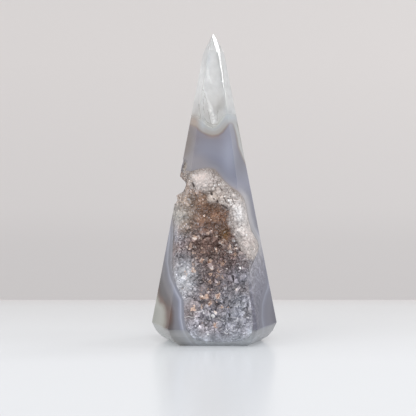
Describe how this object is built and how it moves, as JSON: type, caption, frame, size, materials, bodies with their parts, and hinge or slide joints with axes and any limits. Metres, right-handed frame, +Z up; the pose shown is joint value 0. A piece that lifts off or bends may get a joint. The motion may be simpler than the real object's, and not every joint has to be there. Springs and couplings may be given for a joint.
{
  "type": "druzy agate tower",
  "caption": "Polished agate point with flat facets, a clear quartz tip, a bevelled foot and an open hollow on the front lined with quartz crystals.",
  "frame": {"origin": "centre of the foot, on the surface that the tower stands on", "axes": "+Z up the tower to its tip; -Y out of the crystal-lined hollow; +X to the right as the hollow is looked into"},
  "size_m": [0.0404, 0.0316, 0.1],
  "materials": {
    "agate_tower": "banded lavender and cream chalcedony with a clear tip, polished",
    "druzy_crust": "clear to white quartz crystals with brown iron stain, natural faces"
  },
  "bodies": {
    "root": {"agate_tower": "agate_tower", "druzy_crust": "druzy_crust"}
  },
  "joints": []
}
